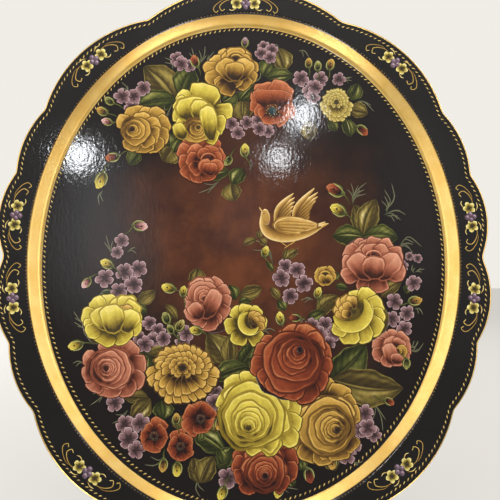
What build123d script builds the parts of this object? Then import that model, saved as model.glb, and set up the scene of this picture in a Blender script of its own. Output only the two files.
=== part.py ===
"""A painted metal tray with a scalloped rim, standing as it hangs on a wall.

+Z is up and the painted front faces -Y.  The origin is the middle of the flat back, on the wall plane.
"""
from build123d import *
from math import hypot
import os

# Sheet
SHEET = 0.8             # thickness of the steel sheet
FRONT = Vector(0, -1, 0)
FLAT_WITHIN = 0.001     # a face this thin from back to front is flat

# Well: the flat bottom and its leaning wall
WELL_HALF_X = 190.0     # half-axes of the bottom, at its front edge before rounding
WELL_HALF_Z = 225.0
WALL_SPREAD = 9.0       # the wall leans outward by this much
WALL_RISE = 9.5         # from the bottom's front to the flange's front
COVE_RADIUS = 6.0       # front radius where the bottom turns up into the wall
SHOULDER_RADIUS = 2.4   # front radius where the wall turns out into the flange

# Scalloped outline of the rim: one quarter, as notches with the top of the lobe between each two.
# The lobe at each end stands on the axis, so its arc runs on into the next quarter.
SIDE_NOTCH = (220.5, 0.0)
LOW_NOTCH = (212.8, 77.5)
HIGH_NOTCH = (188.7, 137.1)
END_NOTCH = (93.7, 226.2)
SIDE_LOBE = (227.1, 38.0)
SMALL_LOBE = (200.9, 120.7)
CORNER_LOBE = (146.7, 201.9)
END_LOBE = (0.0, 260.6)
SIDE_NOTCH_RADIUS = 12.0
NOTCH_RADIUS = 8.0

# Rolled hem round the rim, with a wire inside it
HEM_WIRE_RADIUS = 0.87
HEM_CLEARANCE = 0.03
HEM_WRAP = 285.0        # degrees that the sheet's edge is rolled through

# Hanger: a strap soldered behind the top lobe, and the wire loop that swings in its eye
HINGE_Z = 246.5
LOOP_WIRE_RADIUS = 1.0
LOOP_HALF_WIDTH = 12.0  # to the middle of the wire
LOOP_DROP = 9.0         # from the hinge to the middle of the loop's lower run
LOOP_TOP_CORNER = 3.0
LOOP_LOW_CORNER = 4.5
EYE_CLEARANCE = 0.06
EYE_WRAP = 290.0
STRAP_WIDTH = 16.0
STRAP_LENGTH = 8.6      # from the hinge to the tab's lower edge
SOLDER_LEG = 0.7

# Worked out from the above
FLANGE_FRONT = -(SHEET + WALL_RISE)
FLANGE_BACK = FLANGE_FRONT + SHEET
HEM_INNER = HEM_WIRE_RADIUS + HEM_CLEARANCE
HEM_RADIUS = HEM_INNER + SHEET
EYE_INNER = LOOP_WIRE_RADIUS + EYE_CLEARANCE
EYE_RADIUS = EYE_INNER + SHEET
HINGE_Y = FLANGE_BACK + EYE_RADIUS


def front_plane(y):
    """A plane parallel to the wall, with X to the right and Y up as seen from the front."""
    return Plane(origin=(0, y, 0), x_dir=(1, 0, 0), z_dir=FRONT)


def near(shape, points):
    """The vertices of a flat shape that lie at the given points, in any quarter."""
    return [
        v for v in shape.vertices() if any(hypot(abs(v.X) - x, abs(v.Y) - y) < 0.1 for x, y in points)
    ]


def scalloped_outline():
    """The rim's outline as a face: an arc for each lobe, rounded where two of them meet in a notch."""
    quarter = [
        (SIDE_NOTCH, SIDE_LOBE, LOW_NOTCH),
        (LOW_NOTCH, SMALL_LOBE, HIGH_NOTCH),
        (HIGH_NOTCH, CORNER_LOBE, END_NOTCH),
    ]
    end_arc = (END_NOTCH, END_LOBE, (-END_NOTCH[0], END_NOTCH[1]))
    arcs = [(arc, sx, sz) for arc in quarter for sx in (1, -1) for sz in (1, -1)]
    arcs += [(end_arc, 1, 1), (end_arc, 1, -1)]
    face = make_face([ThreePointArc(*[(sx * x, sz * z) for x, z in arc]) for arc, sx, sz in arcs])
    face = fillet(near(face, [SIDE_NOTCH]), SIDE_NOTCH_RADIUS)
    return fillet(near(face, [LOW_NOTCH, HIGH_NOTCH, END_NOTCH]), NOTCH_RADIUS)


def curl(inner_radius, wrap):
    """Section of a sheet's edge rolled round a wire at the origin.

    The sheet arrives along +X, on the -Y side of the wire, and the roll runs on anticlockwise.
    """
    outer = CenterArc((0, 0), inner_radius + SHEET, -90, wrap)
    inner = CenterArc((0, 0), inner_radius, -90, wrap)
    ends = [Line(outer @ t, inner @ t) for t in (0, 1)]
    return make_face([outer, inner, *ends])


def dish():
    """Bottom, wall and an oversize flange, turned round and then stretched to the oval."""
    mean_radius = (WELL_HALF_X + WELL_HALF_Z) / 2
    back_radius = mean_radius + SHEET * (hypot(WALL_SPREAD, WALL_RISE) - WALL_SPREAD) / WALL_RISE
    oversize = mean_radius + END_LOBE[1] / 2
    section = make_face(
        Polyline(
            (0, 0),
            (back_radius, 0),
            (back_radius + WALL_SPREAD, FLANGE_BACK),
            (oversize, FLANGE_BACK),
            (oversize, FLANGE_FRONT),
            (mean_radius + WALL_SPREAD, FLANGE_FRONT),
            (mean_radius, -SHEET),
            (0, -SHEET),
            close=True,
        )
    )
    bends = [
        ((back_radius, 0), COVE_RADIUS + SHEET),
        ((back_radius + WALL_SPREAD, -FLANGE_BACK), SHOULDER_RADIUS - SHEET),
        ((mean_radius + WALL_SPREAD, -FLANGE_FRONT), SHOULDER_RADIUS),
        ((mean_radius, SHEET), COVE_RADIUS),
    ]
    for corner, radius in bends:
        section = fillet(near(section, [corner]), radius)
    stretch = (WELL_HALF_X / mean_radius, 1, WELL_HALF_Z / mean_radius)
    return with_true_planes(scale(revolve(section, Axis.Y), by=stretch))


def with_true_planes(solid):
    """Stretching makes free-form faces of the flat ones too, so each of those is made again as a plane."""
    faces = []
    for face in solid.faces():
        if face.bounding_box().size.Y < FLAT_WITHIN:
            face = Face(face.outer_wire(), face.inner_wires())
        faces.append(face)
    return Solid(Shell(faces))


def roll_line():
    """The line where the flange starts to roll over, as a face inside the outline."""
    return offset(scalloped_outline(), -HEM_RADIUS)


def rolled_along(section):
    """Sweep a section along the hem's middle; its X points outward from the tray and its Y to the back."""
    path = (front_plane(FLANGE_FRONT + HEM_RADIUS) * roll_line()).wire()
    along = path % 0
    start = Plane(origin=path @ 0, x_dir=along.cross(FRONT), z_dir=along)
    return sweep(start * section, path=path)


def tray_shell():
    """Bottom, wall, flange and rolled hem: one pressed sheet."""
    trimmed = dish() & extrude(front_plane(0) * roll_line(), -2 * FLANGE_FRONT, both=True)
    return trimmed + rolled_along(curl(HEM_INNER, HEM_WRAP))


def rim_wire():
    """The iron wire that the hem is rolled round."""
    return rolled_along(Circle(HEM_WIRE_RADIUS))


def hanger_strap():
    """A strip folded into an eye round the loop's top bar, with its tab flat on the flange's back."""
    side = Plane(origin=(STRAP_WIDTH / 2, HINGE_Y, HINGE_Z), x_dir=(0, 0, 1), z_dir=(-1, 0, 0))
    tab = Pos(-STRAP_LENGTH / 2, SHEET / 2 - EYE_RADIUS) * Rectangle(STRAP_LENGTH, SHEET)
    return extrude(side * (tab + curl(EYE_INNER, EYE_WRAP)), STRAP_WIDTH)


def hanger_solder():
    """The bead of solder that runs round the tab, below the eye."""
    height = STRAP_LENGTH - EYE_RADIUS
    middle_z = HINGE_Z - STRAP_LENGTH + height / 2
    base = Plane(origin=(0, FLANGE_BACK, middle_z), x_dir=(-1, 0, 0), z_dir=-FRONT)
    spread = offset(Rectangle(STRAP_WIDTH, height), SOLDER_LEG, kind=Kind.INTERSECTION)
    open_at_top = Pos(0, SOLDER_LEG) * Rectangle(STRAP_WIDTH, height + 2 * SOLDER_LEG)
    return extrude(base * spread, SOLDER_LEG, taper=45) - extrude(base * open_at_top, SHEET)


def hanger_loop():
    """The wire loop that the tray hangs by, hanging straight down from its top bar."""
    right = LOOP_HALF_WIDTH
    low = -LOOP_DROP
    points = [(0, 0), (right, 0), (right, low), (-right, low), (-right, 0)]
    radii = [0, LOOP_TOP_CORNER, LOOP_LOW_CORNER, LOOP_LOW_CORNER, LOOP_TOP_CORNER]
    hinge = Plane(origin=(0, HINGE_Y, HINGE_Z), x_dir=(1, 0, 0), z_dir=FRONT)
    path = hinge * FilletPolyline(*points, radius=radii, close=True)
    start = Plane(origin=path @ 0, z_dir=path % 0)
    return sweep(start * Circle(LOOP_WIRE_RADIUS), path=path)


os.makedirs("parts", exist_ok=True)
for make in (tray_shell, rim_wire, hanger_strap, hanger_solder, hanger_loop):
    export_step(make(), f"parts/{make.__name__}.step")
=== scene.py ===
"""The painted tray's looks: lacquered bottom, gilded wall, painted borders, bouquet and bird.

Painted things are thin relief patches, laid in millimetres: x to the right and z up from the middle of
the back, seen from the front. Later strokes lie a hair in front of earlier ones.
"""
import math

import bpy
import numpy as np
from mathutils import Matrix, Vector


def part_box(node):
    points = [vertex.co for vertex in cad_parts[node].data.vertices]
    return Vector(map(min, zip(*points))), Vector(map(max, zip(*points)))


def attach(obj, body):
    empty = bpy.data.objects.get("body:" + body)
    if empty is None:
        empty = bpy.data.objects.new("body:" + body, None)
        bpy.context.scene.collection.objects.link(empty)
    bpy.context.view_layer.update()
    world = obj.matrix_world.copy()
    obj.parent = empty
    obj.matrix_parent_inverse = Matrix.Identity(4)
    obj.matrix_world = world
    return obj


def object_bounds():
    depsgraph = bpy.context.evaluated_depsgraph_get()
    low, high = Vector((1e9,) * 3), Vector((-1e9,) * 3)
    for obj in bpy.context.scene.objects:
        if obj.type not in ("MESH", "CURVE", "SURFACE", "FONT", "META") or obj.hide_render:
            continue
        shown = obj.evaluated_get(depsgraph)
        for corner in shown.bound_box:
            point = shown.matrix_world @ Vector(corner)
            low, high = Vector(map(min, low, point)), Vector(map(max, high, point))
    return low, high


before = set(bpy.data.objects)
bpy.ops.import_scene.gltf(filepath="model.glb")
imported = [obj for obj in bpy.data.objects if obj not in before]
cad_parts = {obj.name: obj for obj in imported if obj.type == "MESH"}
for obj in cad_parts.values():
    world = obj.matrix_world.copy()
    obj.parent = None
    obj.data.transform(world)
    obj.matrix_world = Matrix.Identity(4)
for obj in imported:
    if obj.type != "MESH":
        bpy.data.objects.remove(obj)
cad_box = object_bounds()

MM = 0.001
TAU = 2 * math.pi
RNG = np.random.default_rng(7)


# ---- sizes, from the frame
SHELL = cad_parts["tray_shell"]
FLANGE_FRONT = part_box("tray_shell")[0][1] / MM
SHEET = 0.8                 # thickness of the steel sheet
BOTTOM_FRONT = -SHEET
WELL_HALF_X = 190.0         # half-axes of the flat bottom, before its edge turns up
WELL_HALF_Z = 225.0
WELL_MEAN = (WELL_HALF_X + WELL_HALF_Z) / 2
WALL_SPREAD = 9.0           # the wall leans outward by this much
COVE_RADIUS = 6.0           # where the bottom turns up into the wall
SHOULDER_RADIUS = 2.4       # where the wall turns out into the flange
HEM_RADIUS = 1.7            # of the hem rolled round the rim
HEM_GILDING = 1.9           # the gold on the hem reaches this far back
GOLD_OUTER_X = 199.1        # the gilding stops short of the shoulder at the two ends
GOLD_OUTER_Z = 232.9
SKIN = 0.16                 # the painted skins stand this far off the sheet
RIM_LIGHT = 1.5             # width of the light edge that a petal gets
STROKE_STEP = 0.003         # each stroke lies this much in front of the one before
FLAT_STEP = 0.0001          # the same among dabs that hardly overlap
ROPE_DABS = (4.7, 3.1, 0.85)    # pitch, length and width of a rope border's dabs
VARNISH_DEPTH = 0.0001      # height of the varnish's crackle, in metres

# Levels of the painting, in front of the bottom's skin
LAYER_STEMS = 0.02
LAYER_LEAVES = 0.10
LAYER_SPRAYS = 0.20
LAYER_FLOWERS = 0.32
LAYER_STEP = 0.20           # between one layer of flowers and the next


# ---- colours
def linear(code):
    """A hex colour as linear RGB."""
    raw = np.array([int(code[i:i + 2], 16) / 255 for i in (0, 2, 4)])
    return np.where(raw <= 0.04045, raw / 12.92, ((raw + 0.055) / 1.055) ** 2.4)


def mix(a, b, t):
    """Blend two colours, or arrays of them, by t from 0 to 1."""
    t = np.clip(np.asarray(t, float), 0, 1)[..., None]
    return np.asarray(a) * (1 - t) + np.asarray(b) * t


def smooth(low, high, value):
    """A soft step from 0 at low to 1 at high."""
    t = np.clip((np.asarray(value, float) - low) / (high - low), 0, 1)
    return t * t * (3 - 2 * t)


def tones(*codes):
    """A palette from dark to light."""
    return [linear(code) for code in codes]


def ramp(palette, t):
    """Run through a palette as t goes from 0 to 1."""
    t = np.clip(np.asarray(t, float), 0, 1) * (len(palette) - 1)
    index = np.minimum(t.astype(int), len(palette) - 2)
    stack = np.array(palette)
    return mix(stack[index], stack[index + 1], t - index)


def streaks(across, count, seed):
    """Brush hairs: a mixture of waves across a stroke, from -1 to 1."""
    phase = np.random.default_rng(seed).uniform(0, TAU, 4)
    waves = [np.sin(across * count * f + p) for f, p in zip((1.0, 1.7, 2.9, 4.3), phase)]
    return (waves[0] + 0.8 * waves[1] + 0.6 * waves[2] + 0.5 * waves[3]) / 2.9


OCHRE = tones("28190a", "5a3d15", "8c6826", "b58c3a", "dcb664")
LEMON = tones("3a2e0c", "7c6618", "b09a34", "ccb848", "ecd97a")
RED = tones("1e0a05", "4c1d0b", "702c14", "944825", "c47f50")
BRICK = tones("1e0a05", "44190b", "622512", "82391f", "ac6642")
SALMON = tones("34160c", "6c3420", "96553c", "b47458", "d8a080")
LILAC = tones("2a1a18", "50383a", "785858", "98767a", "d2bab4")
GREEN = tones("110f06", "282d0b", "4e5120", "888542", "c6bc80")
OLIVE = tones("1d150a", "443714", "72622a", "9a8742", "cebd80")
BROWN = tones("1a110a", "40301a", "6a5028", "8e7440", "bca468")
GOLD_PAINT = tones("5a4216", "957130", "c6a352", "e6cf80", "f8eebc")
GRASS = tones("262818", "464832", "6e6c50", "9e9c80")
TEAL = tones("0b1214", "182a2c", "2c4442", "4d6a62", "8fa596")
PINK = tones("3a1a1c", "75403c", "b07a72", "d0a49a", "ecd6cc")
MUM = tones("3a2c0e", "6c5820", "98823a", "b29c4c", "dccb84")
POPPY = tones("2e1006", "5e2810", "823c1c", "a05530", "d08c60")
BIRD = tones("301c0a", "6a481a", "9a712f", "c29a50", "ecd096")
VIOLET = tones("1c1218", "3e2c32", "624a56", "846c7c", "b09aa4")
PRIMROSE = tones("3c3010", "7a6824", "b09c48", "d6c470", "ecdf9c")


# How much each effect lightens or darkens a petal's tone, on a scale where 1 spans the palette
FOLD_TONE = 0.09
STREAK_TONE = 0.13
SIDE_TONE = 0.12            # from the side in shade to the side in light
BASE_TONE = 0.30            # the darkening round the base


# ---- the painter
class Painting:
    """Collects patches of paint and turns them into one piece."""

    made = 0    # each painting starts at its own level, so that no two share a plane

    def __init__(self, ground=BOTTOM_FRONT - SKIN, start=0.02, step=STROKE_STEP):
        Painting.made += 1
        self.ground = ground
        self.step = step
        self.level = start + step * (0.618 * Painting.made % 1)
        self.points = []
        self.faces = []
        self.colours = []
        self.count = 0

    def grid(self, x, z, colour, wrap=False):
        """Add a grid of points as quads that face forward."""
        rows, cols = x.shape
        self.level += self.step
        y = np.full(x.shape, self.ground - self.level)
        self.points.append(np.stack([x, y, z], -1).reshape(-1, 3))
        self.colours.append(np.broadcast_to(colour, (rows, cols, 3)).reshape(-1, 3))
        quad = quads(rows, cols, wrap)
        px, pz = x.ravel()[quad], z.ravel()[quad]
        twice_area = np.sum(px * np.roll(pz, -1, 1) - np.roll(px, -1, 1) * pz)
        self.faces.append((quad if twice_area > 0 else quad[:, ::-1]) + self.count)
        self.count += rows * cols

    def petal(self, base, tip, width, palette, body, egg=0.25, bend=0.0, ruffle=0.03, rim=0.8, shade=0.0,
              hairs=7, square=0.85, skirt=0.0, fade=0.04, round_rim=False):
        """A rounded patch from base to tip, dark at the base and edged with a light rim.

        body is the tone at the base and at the tip, on the palette's scale from 0 to 1. egg widens the
        patch towards the tip, and square below 1 makes it squarer. skirt is the width of the shadow that
        it casts on what lies behind, as a share of its size, and fade is the tone that the shadow ends
        in. round_rim lights the whole edge, not only the tip's half.
        """
        base, tip = np.array(base, float), np.array(tip, float)
        length, along, side = directions(base, tip)
        seed = int(abs(base[0] * 131 + tip[1] * 17 + width * 7)) + 1
        wobble = np.random.default_rng(seed)
        fine = width > 9
        turn = np.linspace(0, TAU, 40 if fine else 20, endpoint=False)
        ring = [0.02, 0.3, 0.52, 0.7, 0.83, 0.92, 0.965, 1.0] if fine else [0.03, 0.45, 0.75, 0.9, 1.0]
        ring = np.array(ring + [1.0 + 0.012 * (skirt > 0), 1.0 + 0.4 * skirt, 1.0 + skirt])
        phases = wobble.uniform(0, TAU, 3)
        waves = zip((1, 0.8, 0.7), (3, 5, 9), phases)
        edge = 1 + ruffle * sum(size * np.sin(n * turn + phase) for size, n, phase in waves)
        u = np.sign(np.cos(turn)) * np.abs(np.cos(turn)) ** square * edge
        v = np.sign(np.sin(turn)) * np.abs(np.sin(turn)) ** square * (1 + egg * np.cos(turn)) * edge
        u, v = ring[:, None] * u, ring[:, None] * v
        where = (u + 1) / 2
        sideways = v * width / 2 + bend * length * (1 - u ** 2)
        x = base[0] + along[0] * where * length + side[0] * sideways
        z = base[1] + along[1] * where * length + side[1] * sideways
        rho = np.broadcast_to(ring[:, None], u.shape)
        tone = body[0] + (body[1] - body[0]) * smooth(0.0, 0.95, where) ** 1.2
        tone = tone + FOLD_TONE * np.sin(np.pi * where) * np.cos(2.6 * v + phases[2]) * (skirt > 0)
        tone = tone + STREAK_TONE * streaks(v + 0.15 * u, hairs, seed) * (1 - rho ** 4) * (skirt > 0)
        lit = side[1] * v + along[1] * u * 0.6
        tone = tone + SIDE_TONE * lit - shade + wobble.uniform(-0.05, 0.05)
        broken = 0.72 + 0.28 * np.sin(4 * turn + phases[0]) * np.sin(7 * turn + phases[1])
        rim_from = max(0.8, 1 - 2 * RIM_LIGHT / width)
        near_tip = smooth(-0.5, 0.3, where) if round_rim else smooth(0.3, 0.62, where)
        edge_light = smooth(rim_from, 0.4 * rim_from + 0.6, rho) * near_tip * rim * broken
        tone = tone + edge_light * (0.97 - tone)
        tone = tone - BASE_TONE * smooth(0.6, 1, rho) * smooth(0.5, 0.1, where)
        if skirt:
            mid = 0.07 + 0.62 * fade
            tone = np.where(rho > 1.005, mid + (fade - mid) * smooth(1.0, 0.999 + skirt, rho), tone)
        self.grid(x, z, ramp(palette, tone), wrap=True)

    def stroke(self, path, width, palette, ends=(0.0, 0.0), tone=(0.35, 0.75), across=0.35, taper=0.6,
               count=14):
        """A brush stroke along a curve through the given points, thin at its ends unless ends says not.

        tone is the tone at its start and its end, and across is how much lighter its left side is.
        """
        x, z = curve(path, count)
        s = np.linspace(0, 1, count)
        dx, dz = np.gradient(x), np.gradient(z)
        size = np.hypot(dx, dz) + 1e-9
        profile = np.sin(np.pi * np.clip(s, 0.012, 0.988)) ** taper
        profile = np.maximum(profile, np.where(s < 0.5, ends[0], ends[1]))
        half = width / 2 * profile
        t = np.array([-1, -0.5, 0, 0.5, 1])
        gx = x[:, None] - dz[:, None] / size[:, None] * half[:, None] * t
        gz = z[:, None] + dx[:, None] / size[:, None] * half[:, None] * t
        tones_here = tone[0] + (tone[1] - tone[0]) * s[:, None] + across * t
        self.grid(gx, gz, ramp(palette, tones_here))

    def arc(self, centre, radii, start, end, width, palette, **options):
        """A crescent stroke along part of an oval; angles are in degrees, anticlockwise from +x."""
        angle = np.radians(np.linspace(start, end, 9))
        path = np.stack([centre[0] + radii[0] * np.cos(angle), centre[1] + radii[1] * np.sin(angle)], -1)
        self.stroke(path, width, palette, **options)

    def dot(self, centre, radius, palette, tone=0.6):
        """A small round dab."""
        self.petal((centre[0] - radius, centre[1]), (centre[0] + radius, centre[1]), 2 * radius, palette,
                   egg=0, ruffle=0.02, rim=0.3, body=(tone, tone), square=1.0)

    def piece(self, name):
        """Make the object, which rides on the tray."""
        points = np.concatenate(self.points) * MM
        skin(name, points, np.concatenate(self.faces), OIL, np.concatenate(self.colours))


def quads(rows, cols, wrap=True):
    """Faces of a grid of points, row by row; wrap joins the last column to the first."""
    r, c = np.meshgrid(np.arange(rows - 1), np.arange(cols if wrap else cols - 1), indexing="ij")
    after = (c + 1) % cols
    corners = [r * cols + c, (r + 1) * cols + c, (r + 1) * cols + after, r * cols + after]
    return np.stack(corners, -1).reshape(-1, 4)


def unit(angle):
    """The direction at an angle from +x, in radians."""
    return np.array([math.cos(angle), math.sin(angle)])


def directions(base, tip):
    """How far it is from base to tip, the way there, and the way to its left."""
    axis = tip - base
    length = np.hypot(*axis)
    return length, axis / length, np.array([-axis[1], axis[0]]) / length


def curve(path, count):
    """Points spread along a smooth curve through the given ones."""
    knots = np.array(path, float)
    if len(knots) == 2:
        t = np.linspace(0, 1, count)[:, None]
        points = knots[0] * (1 - t) + knots[1] * t
        return points[:, 0], points[:, 1]
    padded = np.vstack([2 * knots[0] - knots[1], knots, 2 * knots[-1] - knots[-2]])
    where = np.linspace(0, len(knots) - 1 - 1e-6, count)
    index = where.astype(int)
    t = (where - index)[:, None]
    a, b, c, d = (padded[index + k] for k in range(4))
    points = 0.5 * (
        2 * b + (c - a) * t + (2 * a - 5 * b + 4 * c - d) * t ** 2 + (3 * b - a - 3 * c + d) * t ** 3
    )
    return points[:, 0], points[:, 1]


def skin(name, points, faces, material, colours=None):
    """Make a smooth mesh object that rides on the tray."""
    mesh = bpy.data.meshes.new(name)
    mesh.from_pydata(points.tolist(), [], faces.tolist())
    if colours is not None:
        layer = mesh.color_attributes.new("paint", "FLOAT_COLOR", "POINT")
        rgba = np.concatenate([np.clip(colours, 0, 1), np.ones((len(colours), 1))], 1)
        layer.data.foreach_set("color", rgba.astype(np.float32).ravel())
    mesh.polygons.foreach_set("use_smooth", [True] * len(mesh.polygons))
    mesh.materials.append(material)
    piece = bpy.data.objects.new(name, mesh)
    bpy.context.collection.objects.link(piece)
    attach(piece, "tray")


# ---- materials
class Nodes:
    """A short way to write a material's node tree."""

    def __init__(self, name):
        self.material = bpy.data.materials.new(name)
        self.material.use_nodes = True
        self.tree = self.material.node_tree
        self.shader = self.tree.nodes["Principled BSDF"]
        self.place = self.tree.nodes.new("ShaderNodeTexCoord").outputs["Object"]

    def add(self, kind, **sockets):
        """Add a node and set or link its inputs by name, with _ for a space."""
        node = self.tree.nodes.new(kind)
        for key, value in sockets.items():
            self.put(node.inputs[key.replace("_", " ")], value)
        return node

    def put(self, socket, value):
        """Link a socket to an output, or set its value."""
        if isinstance(value, bpy.types.NodeSocket):
            self.tree.links.new(value, socket)
        elif socket.type == "RGBA":
            socket.default_value = (*value, 1.0)
        else:
            socket.default_value = value

    def math(self, operation, a, b):
        """A Math node's result."""
        node = self.tree.nodes.new("ShaderNodeMath")
        node.operation = operation
        self.put(node.inputs[0], a)
        self.put(node.inputs[1], b)
        return node.outputs[0]

    def noise(self, scale, detail, rough=0.5, stretch=(1, 1, 1)):
        """Noise in the object's own space, from 0 to 1."""
        spread = self.add("ShaderNodeMapping", Vector=self.place, Scale=stretch)
        return self.add("ShaderNodeTexNoise", Vector=spread.outputs[0], Scale=scale, Detail=detail,
                        Roughness=rough).outputs["Fac"]

    def range(self, value, low, high, to_low=0.0, to_high=1.0):
        """Map a value softly from one range to another."""
        node = self.add("ShaderNodeMapRange", Value=value)
        node.interpolation_type = "SMOOTHSTEP"
        for index, number in enumerate((low, high, to_low, to_high), 1):
            node.inputs[index].default_value = number
        return node.outputs[0]

    def blend(self, factor, a, b, mode="MIX"):
        """Mix two colours."""
        node = self.tree.nodes.new("ShaderNodeMix")
        node.data_type = "RGBA"
        node.blend_type = mode
        self.put(node.inputs[0], factor)
        self.put(node.inputs[6], a)
        self.put(node.inputs[7], b)
        return node.outputs[2]

    def set(self, **sockets):
        """Set or link the shader's inputs."""
        for key, value in sockets.items():
            self.put(self.shader.inputs[key.replace("_", " ")], value)

    def bump(self, height, strength, distance):
        """Feed a height to the shader's normal and coat normal."""
        node = self.add("ShaderNodeBump", Height=height, Strength=strength, Distance=distance)
        self.put(self.shader.inputs["Normal"], node.outputs[0])
        self.put(self.shader.inputs["Coat Normal"], node.outputs[0])


def varnish_height(m):
    """The varnish's relief: fine brush crackle over a slow wave, the same on ground and painting."""
    fine = m.noise(480.0, 2.0, 0.6)
    strokes = m.noise(210.0, 2.0, 0.5, (1.6, 1, 0.7))
    slow = m.noise(9.0, 1.0, 0.4)
    both = m.math("ADD", m.math("MULTIPLY", fine, 0.45), m.math("MULTIPLY", strokes, 0.8))
    return m.math("ADD", both, m.math("MULTIPLY", slow, 9.0))


def varnished(m):
    """The clear glossy coat that lies over all the paint."""
    m.set(Roughness=0.5, Coat_Weight=1.0, Coat_Roughness=0.08, Coat_IOR=1.5, Specular_IOR_Level=0.15)
    m.bump(varnish_height(m), 1.0, VARNISH_DEPTH)


def lacquer_ground():
    """Black lacquer with a mottled mahogany glow in the middle of the bottom."""
    m = Nodes("lacquer_ground")
    flat = m.add("ShaderNodeMapping", Vector=m.place, Scale=(1 / 0.165, 0, 1 / 0.19),
                 Location=(-0.02, 0, 0.02))
    distance = m.add("ShaderNodeVectorMath", Vector=flat.outputs[0])
    distance.operation = "LENGTH"
    cloud = m.noise(11.0, 4.0, 0.55)
    ragged = m.math("MULTIPLY", m.math("SUBTRACT", cloud, 0.5), 0.9)
    spread = m.math("ADD", distance.outputs["Value"], ragged)
    glow = m.range(spread, 0.95, 0.15)
    mottle = m.noise(34.0, 5.0, 0.62)
    patchy = m.range(m.noise(19.0, 3.0, 0.5), 0.35, 0.7)
    warm = m.blend(patchy, linear("3a1a0e"), linear("542812"))
    warm = m.blend(m.range(mottle, 0.3, 0.75, 0.0, 0.6), warm, linear("6c3c1c"))
    colour = m.blend(glow, linear("130d0a"), warm)
    m.set(Base_Color=colour)
    varnished(m)
    return m.material


def black_lacquer():
    """Black lacquer on the rim and the back, faintly and unevenly brown."""
    m = Nodes("black_lacquer")
    cloud = m.noise(24.0, 4.0, 0.6)
    m.set(Base_Color=m.blend(m.range(cloud, 0.3, 0.75), linear("100e0c"), linear("181412")))
    varnished(m)
    return m.material


def oil_paint():
    """Brushed oil colour from the strokes' own tints, under the varnish."""
    m = Nodes("oil_paint")
    tint = m.add("ShaderNodeAttribute")
    tint.attribute_name = "paint"
    hairs = m.noise(900.0, 3.0, 0.6)
    blot = m.noise(160.0, 3.0, 0.55)
    hairs, blot = m.range(hairs, 0.2, 0.8, 0.86, 1.12), m.range(blot, 0.25, 0.75, 0.88, 1.1)
    value = m.math("MULTIPLY", hairs, blot)
    grey = m.add("ShaderNodeCombineColor", Red=value, Green=value, Blue=value)
    m.set(Base_Color=m.blend(1.0, tint.outputs["Color"], grey.outputs[0], "MULTIPLY"))
    varnished(m)
    return m.material


def gilding(name, painted_shade):
    """Metallic gold paint, streaked by the brush; with painted_shade set, painted shade makes it browner
    towards the outer edge at the top.
    """
    m = Nodes(name)
    streak = m.noise(60.0, 4.0, 0.6)
    fine = m.noise(700.0, 3.0, 0.65)
    gold = m.blend(m.range(streak, 0.2, 0.8), linear("d8ac56"), linear("e4c274"))
    gold = m.blend(m.range(fine, 0.35, 0.8, 0.0, 0.3), gold, linear("d89f34"))
    if painted_shade:
        # painted shade: the gold is mixed towards brown by the amount of shade that the mesh's 'paint'
        # attribute holds
        edge = m.add("ShaderNodeAttribute")
        edge.attribute_name = "paint"
        dark = m.math("MULTIPLY", edge.outputs["Fac"], m.range(streak, 0.2, 0.8, 0.75, 1.0))
        gold = m.blend(dark, gold, linear("8a5a20"))
    rough = m.range(fine, 0.3, 0.8, 0.3, 0.45)
    m.set(Base_Color=gold, Metallic=0.6, Roughness=rough, Specular_IOR_Level=0.5)
    m.bump(m.math("ADD", fine, m.math("MULTIPLY", streak, 4.0)), 0.6, 0.00006)
    return m.material


def bare_metal(name, dark, light, rough):
    """Wire, tinned strip or solder: dull metal with drawn streaks."""
    m = Nodes(name)
    cloud = m.noise(350.0, 4.0, 0.6)
    drawn = m.noise(900.0, 2.0, 0.6, (0.2, 1, 1))
    m.set(Base_Color=m.blend(m.range(cloud, 0.3, 0.7), linear(dark), linear(light)), Metallic=1.0,
          Roughness=m.range(drawn, 0.2, 0.8, rough - 0.08, rough + 0.12))
    m.bump(drawn, 0.4, 0.00003)
    return m.material


OIL = oil_paint()
BLACK = black_lacquer()
GILT = gilding("gilt_edge", False)


# ---- metalwork
def oval(mean_radius, angle):
    """A point of the stretched circle of the given mean radius."""
    return (
        mean_radius / WELL_MEAN * WELL_HALF_X * np.cos(angle),
        mean_radius / WELL_MEAN * WELL_HALF_Z * np.sin(angle),
    )


def front_depth(radius):
    """The front's depth at a mean radius: flat bottom, cove, leaning wall, shoulder and flange."""
    rise = BOTTOM_FRONT - FLANGE_FRONT
    lean = math.atan2(rise, WALL_SPREAD)
    cove = COVE_RADIUS * math.tan(lean / 2)
    shoulder = SHOULDER_RADIUS * math.tan(lean / 2)
    out = np.asarray(radius, float) - WELL_MEAN
    wall = BOTTOM_FRONT - out * rise / WALL_SPREAD
    in_cove = BOTTOM_FRONT - COVE_RADIUS + np.sqrt(np.maximum(COVE_RADIUS ** 2 - (out + cove) ** 2, 0))
    past = WALL_SPREAD + shoulder - out
    in_shoulder = FLANGE_FRONT + SHOULDER_RADIUS - np.sqrt(np.maximum(SHOULDER_RADIUS ** 2 - past ** 2, 0))
    depth = np.where(out < -cove, BOTTOM_FRONT, wall)
    depth = np.where((out >= -cove) & (out < cove * math.cos(lean)), in_cove, depth)
    depth = np.where(out > WALL_SPREAD - shoulder * math.cos(lean), in_shoulder, depth)
    return np.where(out > WALL_SPREAD + shoulder, FLANGE_FRONT, depth)


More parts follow.
